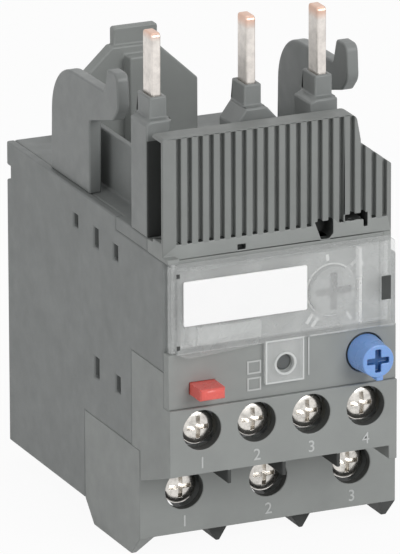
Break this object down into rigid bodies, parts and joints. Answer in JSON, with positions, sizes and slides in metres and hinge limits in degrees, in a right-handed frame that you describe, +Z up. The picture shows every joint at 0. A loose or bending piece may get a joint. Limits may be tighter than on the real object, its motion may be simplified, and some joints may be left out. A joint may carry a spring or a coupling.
{
  "type": "thermal overload relay",
  "caption": "Thermal overload relay with contactor pins and hooks, ribbed cover, hinged clear cover over the setting dial, stop, test and reset controls, and screw terminals.",
  "frame": {"origin": "centre of the bounding box's floor, level with the points under the main terminals", "axes": "+Z up towards the contactor, -Y out of the front face, X to the right seen from the front"},
  "size_m": [0.045, 0.07, 0.0885],
  "materials": {
    "housing_grey": "fine moulded texture, warm mid grey",
    "housing_side": "fine moulded texture, mid grey",
    "hook_grey": "smooth moulded grey plastic",
    "clear_plastic": "clear moulded polycarbonate, slightly frosted",
    "label_white": "plain white label stock",
    "dial_white": "white moulded dial with plain numbers",
    "stop_red": "moulded red plastic",
    "reset_blue": "moulded light blue plastic",
    "inner_plastic": "natural moulded plastic of the inner levers",
    "screw_nickel": "nickel plated steel, lightly worn cross slots",
    "cage_steel": "zinc plated pressed steel",
    "spring_steel": "drawn spring wire",
    "silvered_copper": "silver plated copper with copper showing at the tips",
    "bimetal_strip": "rolled bimetal strip",
    "heater_wire": "oxidised resistance wire",
    "contact_brass": "stamped brass",
    "contact_silver": "silver alloy contact spring"
  },
  "bodies": {
    "relay": {"left_side_shell": "housing_side", "right_side_shell": "housing_side", "main_housing": "housing_grey", "front_cover": "housing_grey", "face_plate": "housing_grey", "aux_terminal_block": "housing_grey", "main_terminal_block": "housing_grey", "stop_spring": "spring_steel", "test_spring": "spring_steel", "reset_spring": "spring_steel", "left_mounting_hook": "hook_grey", "right_mounting_hook": "hook_grey", "rear_catch_plate": "hook_grey", "pin_sleeve_1": "hook_grey", "line_pin_1": "silvered_copper", "bimetal_1": "bimetal_strip", "heater_winding_1": "heater_wire", "output_plate_1": "silvered_copper", "pin_sleeve_2": "hook_grey", "line_pin_2": "silvered_copper", "bimetal_2": "bimetal_strip", "heater_winding_2": "heater_wire", "output_plate_2": "silvered_copper", "pin_sleeve_3": "hook_grey", "line_pin_3": "silvered_copper", "bimetal_3": "bimetal_strip", "heater_winding_3": "heater_wire", "output_plate_3": "silvered_copper", "contact_strip_1": "contact_brass", "contact_strip_2": "contact_brass", "contact_strip_3": "contact_brass", "contact_strip_4": "contact_brass"},
    "cover": {"clear_cover": "clear_plastic", "label_plate": "label_white"},
    "dial": {"setting_dial": "dial_white"},
    "lever": {"adjusting_lever": "inner_plastic"},
    "stop": {"stop_button": "stop_red"},
    "test": {"test_plunger": "inner_plastic"},
    "reset": {"reset_stem": "inner_plastic"},
    "knob": {"reset_knob": "reset_blue"},
    "trip_bar": {"trip_slide": "inner_plastic"},
    "second_bar": {"differential_slide": "inner_plastic"},
    "swing_lever": {"compensation_lever": "bimetal_strip"},
    "carrier": {"contact_carrier": "inner_plastic", "closed_contact_bridge": "contact_silver", "open_contact_bridge": "contact_silver"},
    "main_screw_body_1": {"main_screw_1": "screw_nickel"},
    "cage_body_1": {"wire_cage_1": "cage_steel"},
    "main_screw_body_2": {"main_screw_2": "screw_nickel"},
    "cage_body_2": {"wire_cage_2": "cage_steel"},
    "main_screw_body_3": {"main_screw_3": "screw_nickel"},
    "cage_body_3": {"wire_cage_3": "cage_steel"},
    "aux_screw_body_1": {"aux_screw_1": "screw_nickel"},
    "clamp_body_1": {"aux_clamp_1": "cage_steel"},
    "aux_screw_body_2": {"aux_screw_2": "screw_nickel"},
    "clamp_body_2": {"aux_clamp_2": "cage_steel"},
    "aux_screw_body_3": {"aux_screw_3": "screw_nickel"},
    "clamp_body_3": {"aux_clamp_3": "cage_steel"},
    "aux_screw_body_4": {"aux_screw_4": "screw_nickel"},
    "clamp_body_4": {"aux_clamp_4": "cage_steel"}
  },
  "joints": [
    {"name": "cover_hinge", "type": "hinge", "parent": "relay", "child": "cover", "pos_m": [-0.0213, -0.0292, 0.0445], "axis": [0, 0, -1], "range_deg": [0, 105]},
    {"name": "dial_turn", "type": "hinge", "parent": "relay", "child": "dial", "pos_m": [0.0065, -0.027, 0.0445], "axis": [0, 1, 0], "range_deg": [-120, 120]},
    {"name": "lever_swing", "type": "hinge", "parent": "relay", "child": "lever", "pos_m": [0.0136, -0.025, 0.0486], "axis": [0, 1, 0], "range_deg": [-3.5, 3.5]},
    {"name": "stop_press", "type": "slide", "parent": "relay", "child": "stop", "axis": [0, 1, 0], "range_m": [0, 0.0015], "stiffness_N_per_m": 500, "springref_m": -0.0008, "deforming": ["stop_spring"]},
    {"name": "test_press", "type": "slide", "parent": "relay", "child": "test", "axis": [0, 1, 0], "range_m": [0, 0.0015], "stiffness_N_per_m": 500, "springref_m": -0.0008, "deforming": ["test_spring"]},
    {"name": "reset_press", "type": "slide", "parent": "relay", "child": "reset", "axis": [0, 1, 0], "range_m": [0, 0.0015], "stiffness_N_per_m": 500, "springref_m": -0.0008, "deforming": ["reset_spring"]},
    {"name": "reset_turn", "type": "hinge", "parent": "reset", "child": "knob", "pos_m": [0.0117, -0.035, 0.03375], "axis": [0, 1, 0], "range_deg": [0, 90]},
    {"name": "trip_travel", "type": "slide", "parent": "relay", "child": "trip_bar", "axis": [1, 0, 0], "range_m": [0, 0.0016]},
    {"name": "second_bar_travel", "type": "slide", "parent": "relay", "child": "second_bar", "axis": [1, 0, 0], "range_m": [0, 0.0016]},
    {"name": "swing_turn", "type": "hinge", "parent": "relay", "child": "swing_lever", "pos_m": [0.0186, -0.002, 0.045], "axis": [0, 0, -1], "range_deg": [0, 8.9]},
    {"name": "carrier_travel", "type": "slide", "parent": "relay", "child": "carrier", "axis": [-1, 0, 0], "range_m": [0, 0.0019]},
    {"name": "main_screw_turn_1", "type": "hinge", "parent": "relay", "child": "main_screw_body_1", "pos_m": [-0.0147, -0.0169, 0.0108], "axis": [0, 1, 0], "range_deg": [0, 1501]},
    {"name": "cage_travel_1", "type": "slide", "parent": "relay", "child": "cage_body_1", "axis": [0, -1, 0], "range_m": [0, 0.0025]},
    {"name": "main_screw_turn_2", "type": "hinge", "parent": "relay", "child": "main_screw_body_2", "pos_m": [0, -0.0169, 0.0108], "axis": [0, 1, 0], "range_deg": [0, 1501]},
    {"name": "cage_travel_2", "type": "slide", "parent": "relay", "child": "cage_body_2", "axis": [0, -1, 0], "range_m": [0, 0.0025]},
    {"name": "main_screw_turn_3", "type": "hinge", "parent": "relay", "child": "main_screw_body_3", "pos_m": [0.0147, -0.0169, 0.0108], "axis": [0, 1, 0], "range_deg": [0, 1501]},
    {"name": "cage_travel_3", "type": "slide", "parent": "relay", "child": "cage_body_3", "axis": [0, -1, 0], "range_m": [0, 0.0025]},
    {"name": "clamp_travel_1", "type": "slide", "parent": "relay", "child": "clamp_body_1", "axis": [0, 1, 0], "range_m": [0, 0.0018]},
    {"name": "aux_screw_turn_1", "type": "hinge", "parent": "clamp_body_1", "child": "aux_screw_body_1", "pos_m": [-0.0169, -0.0289, 0.0249], "axis": [0, 1, 0], "range_deg": [0, 1297]},
    {"name": "clamp_travel_2", "type": "slide", "parent": "relay", "child": "clamp_body_2", "axis": [0, 1, 0], "range_m": [0, 0.0018]},
    {"name": "aux_screw_turn_2", "type": "hinge", "parent": "clamp_body_2", "child": "aux_screw_body_2", "pos_m": [-0.0074, -0.0289, 0.0249], "axis": [0, 1, 0], "range_deg": [0, 1297]},
    {"name": "clamp_travel_3", "type": "slide", "parent": "relay", "child": "clamp_body_3", "axis": [0, 1, 0], "range_m": [0, 0.0018]},
    {"name": "aux_screw_turn_3", "type": "hinge", "parent": "clamp_body_3", "child": "aux_screw_body_3", "pos_m": [0.0021, -0.0289, 0.0249], "axis": [0, 1, 0], "range_deg": [0, 1297]},
    {"name": "clamp_travel_4", "type": "slide", "parent": "relay", "child": "clamp_body_4", "axis": [0, 1, 0], "range_m": [0, 0.0018]},
    {"name": "aux_screw_turn_4", "type": "hinge", "parent": "clamp_body_4", "child": "aux_screw_body_4", "pos_m": [0.0116, -0.0289, 0.0249], "axis": [0, 1, 0], "range_deg": [0, 1297]}
  ],
  "couplings": [
    {"joint": "lever_swing", "follows": "dial_turn", "ratio": 0.026667},
    {"joint": "second_bar_travel", "follows": "trip_travel", "ratio": 1},
    {"joint": "swing_turn", "follows": "trip_travel", "rad_per_m": 96.875},
    {"joint": "carrier_travel", "follows": "trip_travel", "ratio": 1.1875},
    {"joint": "main_screw_turn_1", "follows": "cage_travel_1", "rad_per_m": 10472},
    {"joint": "main_screw_turn_2", "follows": "cage_travel_2", "rad_per_m": 10472},
    {"joint": "main_screw_turn_3", "follows": "cage_travel_3", "rad_per_m": 10472},
    {"joint": "aux_screw_turn_1", "follows": "clamp_travel_1", "rad_per_m": 12566},
    {"joint": "aux_screw_turn_2", "follows": "clamp_travel_2", "rad_per_m": 12566},
    {"joint": "aux_screw_turn_3", "follows": "clamp_travel_3", "rad_per_m": 12566},
    {"joint": "aux_screw_turn_4", "follows": "clamp_travel_4", "rad_per_m": 12566}
  ]
}
